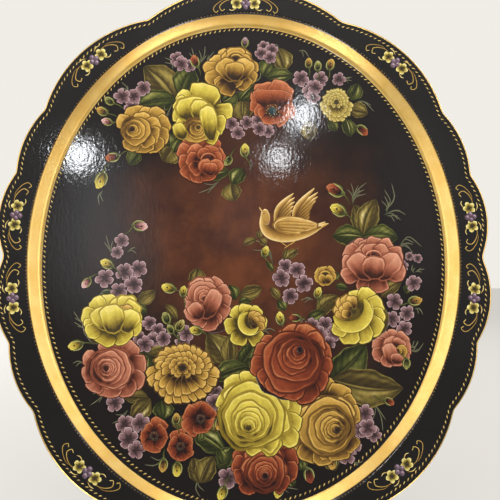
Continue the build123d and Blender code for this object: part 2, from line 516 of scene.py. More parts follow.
def lacquered_bottom():
    """The bottom's painted ground, out to the gilding, with the faint waves of hand-beaten sheet."""
    turns = 360
    angle = np.linspace(0, TAU, turns, endpoint=False)
    edge = WELL_MEAN
    radius = np.concatenate([[0.05], np.linspace(4, edge - 6, 52), np.linspace(edge - 5, edge, 12)])
    a, r = np.meshgrid(angle, radius)
    x, z = oval(r, a)
    wave = 0.05 * np.sin(x / 31 + 0.7) * np.cos(z / 43) + 0.03 * np.sin(z / 19 + x / 37)
    fade = smooth(WELL_MEAN - 2, WELL_MEAN - 40, r)
    y = front_depth(r) - SKIN + wave * fade
    points = np.stack([x, y, z], -1).reshape(-1, 3) * MM
    skin("lacquered_bottom", points, quads(len(radius), turns), lacquer_ground())


def gold_edges(angle):
    """Inner and outer mean radius of the gold band, which is narrower towards the bottom."""
    outer = np.hypot(GOLD_OUTER_X * np.cos(angle), GOLD_OUTER_Z * np.sin(angle))
    outer = outer / np.hypot(*oval(1.0, angle))
    low = smooth(0.1, -0.75, np.sin(angle))
    return WELL_MEAN - 1.8 + 2.0 * low, outer - 0.9 * low


def gilded_wall():
    """The gold band: cove, wall and part of the shoulder."""
    turns = 480
    angle = np.linspace(0, TAU, turns, endpoint=False)
    inner, outer = gold_edges(angle)
    share = np.linspace(0, 1, 26)[:, None]
    r = inner + (outer - inner) * share
    a = np.broadcast_to(angle, r.shape)
    x, z = oval(r, a)
    y = np.maximum(front_depth(r) - SKIN - 0.02, FLANGE_FRONT - 0.03)
    points = np.stack([x, y, z], -1).reshape(-1, 3) * MM
    # painted shade: the outer part of the band at the upper left is darkened as if the shoulder were in
    # shadow, and the band is also darker along its outer edge all round
    upper_left = smooth(-0.1, 0.95, np.sin(a)) * smooth(0.75, -0.1, np.cos(a))
    painted_shade = 0.5 * smooth(0.45, 0.95, share) * upper_left
    painted_shade = np.maximum(painted_shade, smooth(0.9, 1.0, share) * 0.6 * np.ones_like(a))
    colours = np.repeat(painted_shade.reshape(-1, 1), 3, 1)
    gold = gilding("gilded_wall", True)
    skin("gilded_wall", points, quads(len(share), turns), gold, colours)


def dress_shell():
    """Black lacquer on the sheet, with gold on the front of the rolled rim."""
    mesh = SHELL.data
    mesh.materials.clear()
    mesh.materials.append(BLACK)
    mesh.materials.append(GILT)
    clear_of_wall = 1.03
    for face in mesh.polygons:
        x, y, z = face.center / MM
        rim = math.hypot(x / GOLD_OUTER_X, z / GOLD_OUTER_Z) > clear_of_wall
        in_front = FLANGE_FRONT + 0.02 < y < FLANGE_FRONT + HEM_GILDING and face.normal.y < 0.2
        face.material_index = int(rim and in_front)


def dress_hanger():
    """Metals for the wires, the strap and the solder."""
    looks = {
        "rim_wire": ("iron_wire", "4a4744", "6f6a64", 0.45),
        "hanger_strap": ("tinned_strip", "8d8880", "b7b2a8", 0.38),
        "hanger_solder": ("solder", "9a9a98", "c4c4c2", 0.3),
        "hanger_loop": ("bright_wire", "837d74", "aaa59c", 0.28),
    }
    for node, look in looks.items():
        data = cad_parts[node].data
        data.materials.clear()
        data.materials.append(bare_metal(*look))


lacquered_bottom()
gilded_wall()
dress_shell()
dress_hanger()


# ---- borders
def rim_outline(count):
    """The rim's outline as angles and radii, found by looking inward at the hem all round."""
    hem = Vector((0, (FLANGE_FRONT + HEM_RADIUS) * MM, 0))
    outside = 0.4
    even = np.linspace(-math.pi, math.pi, count, endpoint=False)
    radius = []
    for angle in even:
        way = Vector((math.cos(angle), 0, math.sin(angle)))
        _, place, _, _ = SHELL.ray_cast(way * outside + hem, -way)
        radius.append(math.hypot(place.x, place.z) / MM)
    return even, np.array(radius)


def along_loop(x, z, pitch):
    """Spread places evenly along a closed line; gives each place and its direction."""
    x, z = np.append(x, x[0]), np.append(z, z[0])
    run = np.concatenate([[0], np.cumsum(np.hypot(np.diff(x), np.diff(z)))])
    count = int(run[-1] / pitch)
    where = np.arange(count) * run[-1] / count
    px, pz = np.interp(where, run, x), np.interp(where, run, z)
    ahead = (where + 1.0) % run[-1]
    dx, dz = np.interp(ahead, run, x) - px, np.interp(ahead, run, z) - pz
    return px, pz, np.arctan2(dz, dx)


def rope(painting, x, z, slant):
    """A row of slanted dabs, each pale one beside a brown one, that reads as a twisted cord."""
    pitch, length, width = ROPE_DABS
    for px, pz, heading in zip(*along_loop(x, z, pitch)):
        way = heading + slant + RNG.uniform(-0.12, 0.12)
        size = RNG.uniform(0.88, 1.1)
        dx, dz = size * length / 2 * math.cos(way), size * length / 2 * math.sin(way)
        for step, palette, tone in ((0.24 * pitch, BROWN, (0.1, 0.5)), (0.0, GOLD_PAINT, (0.4, 0.8))):
            cx, cz = px + step * math.cos(heading), pz + step * math.sin(heading)
            path = [(cx - dx, cz - dz), (cx + dx * 0.2, cz + dz * 0.2 + 0.1), (cx + dx, cz + dz)]
            painting.stroke(path, width * RNG.uniform(0.85, 1.15), palette, count=7, taper=0.8, tone=tone,
                            across=0.15)


EVEN, RIM = rim_outline(720)


def borders():
    """The rope along the rim, the dots outside the gold and the rope inside it."""
    rim = Painting(FLANGE_FRONT, step=FLAT_STEP, start=0.01)
    inset = RIM - 5.4
    rope(rim, inset * np.cos(EVEN), inset * np.sin(EVEN), 0.62)
    rim.piece("rim_rope")
    dots = Painting(FLANGE_FRONT - 0.03, step=FLAT_STEP)
    x, z = oval(gold_edges(EVEN)[1] + 1.0, EVEN)
    for px, pz, _ in zip(*along_loop(x, z, 3.2)):
        dots.dot((px, pz), 0.6 * RNG.uniform(0.6, 1.2), BROWN, 0.55)
    dots.piece("wall_dots")
    cord = Painting(step=FLAT_STEP)
    x, z = oval(WELL_MEAN - 3.6, EVEN)
    rope(cord, x, z, 0.85)
    cord.piece("bottom_rope")


borders()


# ---- flowers
def bloom(name, palette, layer, outer, eye, ring=(), swirls=(), heart=(), crescents=(), front=()):
    """A flower as painted, from back to front.

    The outer petals, the ring of petals behind the eye, the heart's and the front ones are each (base x,
    base z, tip x, tip z, width); swirls (x, z, half width, half height, turn, palette); crescents (x, z,
    half width, half height, start, end, width); eye (x, z, radius).
    """
    p = Painting(start=LAYER_FLOWERS + layer * LAYER_STEP)
    tips = np.array([petal[2:4] for petal in outer], float)
    middle = tips.mean(0)
    half = np.abs(tips - middle).max(0)
    p.petal(middle - (0, 0.74 * half[1]), middle + (0, 0.74 * half[1]), 1.48 * half[0], palette,
            egg=0, rim=0, body=(0.02, 0.05))
    body = (-0.04, 0.74) if palette is LEMON else (-0.14, 0.70)
    for petals, depth, paint in ((outer, 0.07, palette), (ring, 0.02, palette), (heart, 0.0, OCHRE)):
        for bx, bz, tx, tz, width in petals:
            shade = depth + 0.09 * (middle[1] - tz) / half[1] + 0.05 * (tx - middle[0]) / half[0]
            skirt, fade = (0.09, 0.04) if petals is outer else (0.17, 0.38)
            p.petal((bx, bz), (tx, tz), width, paint, egg=0.34, ruffle=0.038, body=body, shade=shade,
                    skirt=skirt, fade=fade)
    for x, z, rx, rz, turn, paint in swirls:
        swirl(p, (x, z), rx, rz, eye[:2], turn, paint)
    hub, size = np.array(eye[:2], float), eye[2]
    p.petal(hub - (0, size * 1.15), hub + (0.25 * size, size * 1.1), 2.1 * size, palette, egg=0.1, rim=0,
            ruffle=0.08, body=(-0.1, 0.0))
    for x, z, rx, rz, start, end, width in crescents:
        edge = width * 0.43
        for out, trim, wide, tone, across in (
                (0, 0, width * 1.14, (0.10, 0.14), 0), (0, 0, width, (0.46, 0.60), -0.24),
                (edge, 12, 1.0, (0.8, 0.95), 0)):
            p.arc((x, z), (rx + out, rz + out), start + trim, end - trim, wide, palette, tone=tone,
                  across=across, count=22)
    for bx, bz, tx, tz, width in front:
        shade = -0.03 + 0.05 * (middle[1] - tz) / half[1]
        p.petal((bx, bz), (tx, tz), width, palette, egg=0.24, ruffle=0.032, body=(0.02, 0.72), shade=shade,
                skirt=0.13, fade=0.38)
    p.piece(name)


def swirl(p, centre, rx, rz, eye, turn, palette):
    """The rolled bowl of a rose: rounds that shrink towards the eye, so the petals far from it are broad.

    The rounds' light tips face from the eye to the bowl's middle, turned by turn in degrees, and sway.
    """
    eye, centre = np.array(eye, float), np.array(centre, float)
    toward = math.degrees(math.atan2(centre[1] - eye[1], centre[0] - eye[0]))
    shares = (1.0, 0.78, 0.58, 0.45, 0.35, 0.26, 0.18) if rx > 14 else (1.0, 0.72, 0.5, 0.34, 0.21)
    for k, share in enumerate(shares):
        middle = eye + (centre - eye) * share + share * 0.03 * rx * RNG.uniform(-1, 1, 2)
        sway = (38 if k % 2 else -38) * (1 - 0.3 * share) + RNG.uniform(-15, 15)
        way = unit(math.radians(toward + turn + sway))
        reach = share * math.hypot(rx * way[0], rz * way[1])
        width = 2 * share * math.hypot(rx * way[1], rz * way[0])
        skirt, fade = (0.12, 0.36) if k else (0.07, 0.26)
        p.petal(middle - way * reach, middle + way * reach, width, palette, egg=0.08, ruffle=0.03,
                square=0.95, body=(0.14, 0.62), shade=0.02 * k - 0.04, skirt=skirt, fade=fade, hairs=11,
                round_rim=True)


def poppy(name, palette, eye, radius, petals, layer=0):
    """An open flower of broad petals round an eye with stamens; petals are (tip x, tip z, width)."""
    p = Painting(start=LAYER_FLOWERS + layer * LAYER_STEP)
    heart = np.array(eye, float)
    for x, z, width in petals:
        tip = np.array([x, z])
        p.petal(heart + 0.06 * (tip - heart), tip, width, palette, egg=0.4, ruffle=0.045,
                body=(-0.05, 0.72), hairs=11, skirt=0.05)
    p.petal(heart - (0, radius * 1.7), heart + (0, radius * 1.7), radius * 3.4, palette, egg=0, rim=0,
            body=(0.05, 0.16))
    large = radius > 3
    p.dot(eye, radius, *((TEAL, 0.35) if large else (palette, 0.0)))
    for k in range(15):
        far = radius * (1.1 + 0.28 * (k % 3))
        p.dot(heart + far * unit(TAU * k / 15 + 0.2), radius * 0.15, OLIVE, 0.62 if large else 0.42)
    p.piece(name)


def chrysanthemum(name, palette, centre, half, eye):
    """A shaggy flower: a low wide fan of long petals, and a dome of narrow ones round a dark eye."""
    p = Painting(start=LAYER_FLOWERS + LAYER_STEP)
    heart = np.array(eye, float)
    rise = eye[1] - centre[1]
    ground = np.array([(0, -0.7 * half[1]), (0, 0.7 * half[1])]) + centre
    p.petal(*ground, 1.4 * half[0], palette, egg=0, rim=0, body=(0.08, 0.12))
    # each row is its share of the flower's size, first and last angle, and number of petals
    fan = ((1.0, 190, 350, 12), (0.76, 180, 360, 10))
    dome = ((0.8, 5, 175, 12), (0.58, -15, 195, 11), (0.38, -60, 240, 10), (0.22, 0, 300, 6))
    groups = ((fan, half[1] + rise, 7.4, 0.3), (dome, (half[1] - rise) * 1.25, 6.4, 0.12))
    for rows, reach, wide, start in groups:
        for share, first, last, count in rows:
            for angle in np.radians(np.linspace(first, last, count)):
                far = share * RNG.uniform(0.93, 1.05)
                way = np.array([half[0] * math.cos(angle), reach * math.sin(angle)]) * far
                width = wide * half[0] / 27 * (0.4 + 0.6 * share)
                p.petal(heart + start * way, heart + way, width, palette, egg=0.4,
                        bend=0.08 * math.cos(angle), ruffle=0.045, body=(-0.2, 0.76), hairs=5, skirt=0.16,
                        fade=0.04 if share == 1.0 else 0.3)
    p.petal(heart - (0, 2.6), heart + (0.6, 2.4), 4.6, palette, egg=0.1, rim=0, ruffle=0.1,
            body=(-0.1, 0.0))
    p.piece(name)


def blossom(p, centre, radius, turn):
    """A five-petalled lilac floret, pale at its petals' edges and dark in the middle."""
    centre = np.array(centre, float)
    for k in range(5):
        way = unit(math.radians(turn + 72 * k))
        tip = centre + way * radius * RNG.uniform(0.9, 1.08)
        p.petal(centre + way * radius * 0.05, tip, radius * 0.74, LILAC, egg=0.42, ruffle=0.05,
                body=(0.14, 0.62), rim=0.95, hairs=4, skirt=0.1)
    p.dot(centre, radius * 0.13, LILAC, 0.0)


def spray(name, places, radius):
    """A cluster of florets as one piece."""
    p = Painting(start=LAYER_SPRAYS)
    for x, z in places:
        blossom(p, (x, z), radius * RNG.uniform(0.82, 1.0), RNG.uniform(0, 72))
    p.piece(name)


def leaf(p, base, tip, width, palette, side):
    """A leaf in two halves, one in light, with a pale midrib, side veins and a light edge.

    side is 1 or -1, for the half that is in light, to which the leaf also bends.
    """
    base, tip = np.array(base, float), np.array(tip, float)
    length, along, cross = directions(base, tip)
    s = np.linspace(0, 1, 22)[:, None]
    one_side = np.array([0.08, 0.26, 0.46, 0.66, 0.84, 0.94, 1])
    t = np.concatenate([-one_side[::-1], [0], one_side])[None, :]
    half = 0.56 * width * np.sin(np.pi * s ** 0.74) ** 0.95 * (1 + 0.05 * np.sin(s * 21 + base[0]))
    spine = 0.06 * length * np.sin(np.pi * s) * side
    u = s * length + 0.10 * length * np.abs(t) * np.sin(np.pi * s)
    v = spine + half * t
    x = base[0] + along[0] * u + cross[0] * v
    z = base[1] + along[1] * u + cross[1] * v
    away = np.abs(t) * np.ones_like(s)
    lit = 0.5 + 0.5 * side * np.sign(t) * smooth(0.0, 0.15, away)
    belly = np.sin(np.pi * s ** 0.9) ** 0.8 * smooth(0.02, 0.4, away) * smooth(1.0, 0.55, away)
    value = 0.09 + (0.16 + 0.28 * lit) * belly
    hairs = streaks(t * (1.2 - 0.4 * s), 8, int(abs(base[0] * 7 + tip[1])) + 2)
    value = value + (0.12 * hairs + 0.58 * np.maximum(hairs, 0) * (1 - away ** 2)) * np.sin(np.pi * s)
    value = value + 0.07 * np.cos(TAU * (6 * s - 1.6 * away)) * smooth(0.05, 0.3, away)
    value = value + 0.40 * smooth(0.07, 0.0, away) * smooth(1.0, 0.5, s)
    value = value + 0.55 * smooth(0.88, 1.0, away) * smooth(0.04, 0.3, s)
    p.grid(x, z, ramp(palette, value))


def leaves(name, places, palette):
    """Leaves of one colour as one piece; places lists (base x, base z, tip x, tip z, width)."""
    p = Painting(start=LAYER_LEAVES)
    for k, (bx, bz, tx, tz, width) in enumerate(places):
        leaf(p, (bx, bz), (tx, tz), width, palette, side=1 if k % 2 else -1)
    p.piece(name)


def bud(p, base, tip, palette):
    """A closed bud between two sepals."""
    base, tip = np.array(base, float), np.array(tip, float)
    tip = base + (tip - base) * 1.25
    axis = tip - base
    length, _, side = directions(base, tip)
    wide = 0.66 * length
    p.petal(base, tip, wide, palette, egg=-0.15, rim=0.6, body=(0.0, 0.75), hairs=4, square=1.0, skirt=0.06)
    p.petal(base, base + axis * 0.9 + side * wide * 0.2, wide * 0.5, palette, body=(0.0, 0.6), hairs=3,
            skirt=0.06)
    for way in (-1, 1):
        out = side * way * wide
        sepal = [base - axis * 0.1, base + axis * 0.25 + out * 0.42, base + axis * 0.75 + out * 0.46]
        p.stroke(sepal, wide * 0.26, GREEN, tone=(0.4, 0.7), count=8)
    p.dot(base, wide * 0.2, GREEN, 0.45)
    p.dot(base + axis * 0.58, wide * 0.1, BROWN, 0.0)


def buds(name, places):
    """Buds on short stems as one piece; places lists (palette, base x, z, tip x, z, stem's foot x, z)."""
    p = Painting(start=LAYER_SPRAYS + 0.06)
    for palette, bx, bz, tx, tz, sx, sz in places:
        middle = ((bx + sx) / 2 + 0.10 * (bz - sz), (bz + sz) / 2 - 0.10 * (bx - sx))
        p.stroke([(sx, sz), middle, (bx, bz)], 1.1, GREEN, tone=(0.3, 0.55), across=0.15, ends=(0.6, 0.6))
        bud(p, (bx, bz), (tx, tz), palette)
    p.piece(name)


def grasses(name, blades):
    """Tufts of grass as one piece; each is the x and z of three points from its root."""
    p = Painting(start=LAYER_STEMS)
    for blade in blades:
        points = np.reshape(np.array(blade, float), (3, 2))
        root, reach = points[0], points[-1] - points[0]
        side = np.array([-reach[1], reach[0]])
        for share, lean in ((1.0, 0.0), (0.72, 0.2), (0.62, -0.22)):
            bowed = [root + (point - root) * share + side * lean * (k / (len(points) - 1)) ** 2
                     for k, point in enumerate(points)]
            p.stroke(bowed, 0.9 * (0.7 + 0.3 * share), GRASS, tone=(0.3, 0.75), across=0.1, ends=(0.4, 0.0))
    p.piece(name)


# ---- the bouquet, upper part
def upper_greens():
    """Leaves, stems and grass behind the upper flowers."""
    grasses("upper_grass", [
        (-50, 186, -50, 194, -52, 202), (-46, 184, -40, 194, -39, 204), (-36, 180, -36, 190, -30, 199),
        (-70, 180, -71, 188, -78, 192), (8, 168, 14, 172, 15, 180), (100, 168, 98, 173, 104, 174),
        (108, 150, 116, 149, 125, 140), (108, 149, 114, 147, 118, 142), (-112, 154, -114, 162, -119, 167),
        (28, 200, 32, 203, 30, 207), (52, 200, 58, 200, 62, 194), (-84, 130, -76, 134, -70, 146),
    ])
    leaves("upper_olive_leaves", [
        (-68, 151, -98, 183, 27), (32, 203, 38, 179, 18), (-2, 151, -1, 130, 19), (-68, 104, -78, 90, 20),
        (-14, 70, -10, 52, 17), (100, 143, 119, 138, 14), (62, 131, 62, 111, 14),
        (-130, 139, -142, 137, 7),
    ], OLIVE)
    leaves("upper_green_leaves", [
        (-65, 150, -106, 143, 20), (-62, 154, -50, 182, 23), (26, 190, 17, 174, 15),
        (20, 173, 47, 175, 13), (-22, 148, -8, 158, 15), (-6, 150, 11, 167, 15), (102, 151, 110, 168, 13),
        (97, 133, 101, 115, 12), (-100, 101, -110, 86, 13), (-38, 74, -14, 81, 12), (-2, 84, -12, 68, 14),
        (-76, 118, -72, 104, 12), (-62, 112, -68, 98, 10), (80, 132, 88, 120, 9),
    ], GREEN)


def upper_flowers():
    """The garland of roses across the top."""
    spray("lilac_upper_left", [(-108, 143), (-107, 153), (-118, 153), (-98, 161)], 8.4)
    spray("lilac_top_left", [(-66, 191), (-54, 184), (-62, 186)], 7.4)
    spray("lilac_top_right", [(18, 204), (26, 201), (16, 197), (24, 193)], 7.0)
    spray("lilac_upper_middle", [(-13, 127), (-7, 118), (2, 128), (13, 131), (22, 120), (14, 122)], 7.8)
    spray("lilac_upper_right", [(54, 172), (62, 160), (66, 154), (73, 172), (91, 172), (68, 164)], 8.0)
    bloom("rose_ochre_top", OCHRE, 1, outer=[
        (-14, 178, -23, 200, 13), (-16, 178, -32, 193, 12), (-16, 176, -40, 184, 13),
        (-14, 175, -38, 171, 15), (-4, 176, 12, 186, 12), (-4, 175, 11, 172, 13), (-6, 172, 3, 163, 15),
        (-12, 172, -29, 163, 15), (-12, 172, -8, 163, 14), (-14, 171, -22, 156, 18),
    ], ring=[
        (-9, 186, -19, 198, 14), (-9, 186, 2, 198, 15), (-9, 188, -9, 202, 17), (-9, 184, 6, 191, 13),
    ], eye=(-9, 190, 3.4), crescents=[
        (-9, 190, 8.8, 7.6, 15, 195, 2.0), (-9, 190, 5.6, 5.0, -20, 150, 1.5),
    ], front=[(-9, 171, -24, 189, 18), (-9, 171, 4, 190, 17), (-10, 170, -10, 187.5, 17)])
    bloom("rose_lemon_upper", LEMON, 2, outer=[
        (-46, 140, -35, 165, 27), (-50, 146, -64, 157, 13), (-52, 140, -67, 149, 15),
        (-54, 134, -69, 137, 15), (-54, 126, -66, 125, 13), (-36, 137, -12, 140, 15),
        (-34, 128, -19, 125, 17), (-40, 118, -26, 112, 14),
    ], ring=[(-50, 128, -54, 152, 25), (-44, 130, -42, 149, 17)], swirls=[
        (-47, 120, 13.5, 12, 60, OCHRE),
    ], eye=(-45, 123, 1.8), front=[(-32, 111, -37, 144, 14), (-58, 112, -66, 126, 11)])
    bloom("rose_ochre_left", OCHRE, 1, outer=[
        (-100, 124, -108, 143, 19), (-96, 124, -93, 142, 15), (-94, 124, -80, 140, 16),
        (-93, 121, -72, 128, 17), (-93, 118, -73, 113, 16), (-95, 116, -81, 101, 17),
        (-98, 116, -96, 98, 18), (-103, 116, -111, 101, 16), (-104, 122, -122, 131, 14),
    ], ring=[
        (-98, 120, -99, 137, 15), (-96, 119, -83, 129, 15), (-97, 117, -82, 115, 15),
        (-98, 116, -90, 105, 14),
    ], swirls=[(-105, 120, 14, 13, 0, OCHRE)], eye=(-108, 121, 2.4))
    poppy("poppy_red", POPPY, (26, 140), 3.8, [
        (17, 168, 20), (38, 168, 23), (5, 147, 14), (8, 159, 14), (46, 147, 24), (12, 147, 22),
        (27, 161, 34), (14, 133, 15), (41, 131, 18), (27, 127, 20),
    ], layer=1)
    chrysanthemum("rose_ragged_yellow", MUM, (85, 146), (16, 16.5), (88, 149))
    bloom("rose_red_orange", POPPY, 1, outer=[
        (-44, 96, -55, 115, 15), (-42, 96, -42, 117, 14), (-38, 96, -27, 112, 14),
        (-46, 94, -64, 103, 14), (-46, 90, -63, 88, 15), (-46, 88, -58, 75, 15), (-43, 86, -46, 70, 15),
        (-38, 84, -33, 72, 14), (-34, 92, -20, 99, 13),
    ], ring=[
        (-42, 92, -51, 105, 14), (-43, 90, -55, 94, 13), (-42, 88, -51, 80, 13), (-35, 92, -30, 105, 13),
        (-36, 92, -42, 102, 11), (-34, 92, -22, 94, 12),
    ], eye=(-36, 93, 2.4), crescents=[(-35, 92, 6.5, 5.4, 0, 190, 1.6)], front=[
        (-33, 78, -41, 91, 12), (-33, 78, -24, 91, 12), (-34, 77, -33, 89, 13),
    ])


def upper_buds():
    """Buds at the ends of the upper sprays."""
    buds("upper_buds", [
        (RED, -46, 183, -50, 192, -43, 174), (RED, -120, 95, -130, 93, -108, 101),
        (RED, 108, 125, 116, 119, 101, 133), (RED, 93, 60, 81, 66, 99, 50),
        (LEMON, -134, 79, -138, 67, -126, 92), (LEMON, 0, 95, 0, 105, 6, 82),
        (PINK, -127, 127, -135, 129, -116, 127), (LILAC, 0, 203, 0, 211, -2, 196),
        (OCHRE, -132, 136, -140, 140, -120, 131), (OCHRE, 62, 183, 62, 191, 62, 174),
        (OCHRE, 82, 181, 84, 190, 80, 170), (GREEN, -126, 146, -133, 150, -116, 140),
        (GREEN, 71, 180, 71, 188, 70, 170), (GREEN, -14, 95, -18, 88, -8, 104),
    ])


# ---- the bouquet, lower part
def middle_greens():
    """Sprigs on both sides between the two parts of the bouquet."""
    grasses("side_grass", [
        (-124, 2, -127, 10, -130, 20), (-106, 18, -108, 28, -106, 38), (-110, 4, -104, 8, -97, 7),
        (102, 50, 106, 62, 116, 71), (102, 50, 103, 62, 101, 70), (104, 56, 108, 61, 114, 64),
        (133, 44, 142, 56, 140, 70), (134, 42, 136, 50, 133, 58), (132, 40, 144, 44, 153, 40),
        (134, 39, 142, 39, 148, 35), (144, 6, 154, 19, 167, 10), (147, 9, 152, 13, 159, 12),
        (160, -14, 164, -12, 169, -11), (159, -15, 157, -11, 158, -7), (158, -48, 163, -48, 166, -53),
        (150, -84, 159, -87, 166, -79), (150, -82, 157, -83, 161, -78), (-136, -38, -130, -31, -123, -32),
        (-145, -62, -152, -58, -158, -50), (-144, -64, -150, -64, -157, -60),
        (-146, -98, -152, -95, -157, -97), (-24, 72, -34, 64, -44, 60), (-134, 62, -138, 56, -137, 48),
        (64, -40, 58, -38, 52, -40), (-10, -46, -16, -48, -22, -46), (14, -70, 22, -66, 28, -68),
        (56, -62, 50, -58, 52, -54),
    ])
    leaves("side_olive_leaves", [
        (111, 20, 104, 50, 16), (112, 20, 125, 55, 19), (-101, -43, -83, -31, 11), (66, -53, 87, -36, 14),
        (-5, -35, 16, -28, 12), (127, -37, 147, -23, 11), (-47, -27, -44, -10, 14), (24, -28, 32, -40, 7),
        (-62, -58, -74, -44, 7), (-56, -68, -66, -60, 6),
    ], OLIVE)
    leaves("side_green_leaves", [
        (112, 19, 82, 19, 18), (111, 19, 145, 18, 19), (-8, -40, -15, -26, 10), (-6, -42, 8, -38, 9),
        (-90, -52, -104, -46, 9), (31, -40, 37, -50, 9), (58, -58, 74, -50, 11),
        (-118, -32, -136, -36, 8), (150, -34, 154, -24, 7), (84, -26, 96, -30, 6), (82, -22, 88, -14, 5),
        (20, -4, 26, -14, 5),
    ], GREEN)
    buds("side_buds", [
        (LEMON, 95, 41, 84, 47, 103, 32), (LEMON, 18, 0, 20, 8, 25, -14),
        (LEMON, -65, -30, -75, -28, -56, -37), (LEMON, -149, -79, -159, -82, -138, -80),
        (LEMON, -40, -68, -49, -67, -34, -74), (LEMON, 34, -62, 32, -53, 38, -72),
        (LEMON, -57, -37, -57, -29, -56, -48), (LEMON, -123, -9, -132, -5, -116, -18),
        (LEMON, 67, -38, 69, -30, 70, -50), (PINK, -144, -20, -149, -27, -136, -16),
        (PINK, -105, 29, -94, 28, -113, 20), (BRICK, 51, -56, 43, -56, 58, -60),
        (OCHRE, 153, -42, 163, -40, 142, -44), (GREEN, 149, -93, 149, -101, 142, -86),
        (GREEN, -70, -61, -74, -53, -64, -74), (GREEN, -66, -70, -70, -64, -60, -78),
        (OLIVE, -62, -68, -58, -60, -62, -80), (RED, 128, -130, 135, -133, 118, -126),
    ])


def lower_greens():
    """Leaves and grass behind the lower flowers."""
    grasses("lower_grass", [
        (-126, -116, -131, -127, -140, -134), (-106, -138, -112, -146, -120, -150),
        (116, -130, 124, -144, 126, -158), (28, -204, 36, -206, 48, -208),
        (-40, -196, -44, -206, -40, -214), (96, -182, 104, -188, 112, -188),
        (-72, -178, -80, -186, -90, -186),
    ])
    leaves("lower_olive_leaves", [
        (-16, -99, -35, -71, 22), (-14, -99, -13, -71, 14), (-88, -127, -110, -128, 12),
        (-86, -128, -104, -146, 16), (-41, -202, -47, -180, 15), (-40, -202, -28, -179, 17),
        (80, -112, 146, -120, 30), (-89, -89, -69, -82, 10), (-22, -144, -27, -158, 11),
        (-62, -142, -60, -156, 11), (76, -176, 82, -192, 13),
    ], OLIVE)
    leaves("lower_green_leaves", [
        (78, -113, 112, -80, 26), (84, -116, 112, -132, 20), (-4, -99, 8, -79, 17), (4, -92, 8, -106, 12),
        (4, -99, -30, -112, 17), (-86, -92, -102, -84, 11), (-88, -91, -88, -105, 13),
        (-76, -130, -74, -147, 17), (-18, -176, -49, -157, 18), (-24, -190, -10, -171, 14),
        (-20, -186, -24, -172, 9), (-40, -156, -44, -166, 10), (40, -196, 44, -206, 8),
        (50, -182, 52, -192, 9), (98, -134, 104, -146, 10),
    ], GREEN)


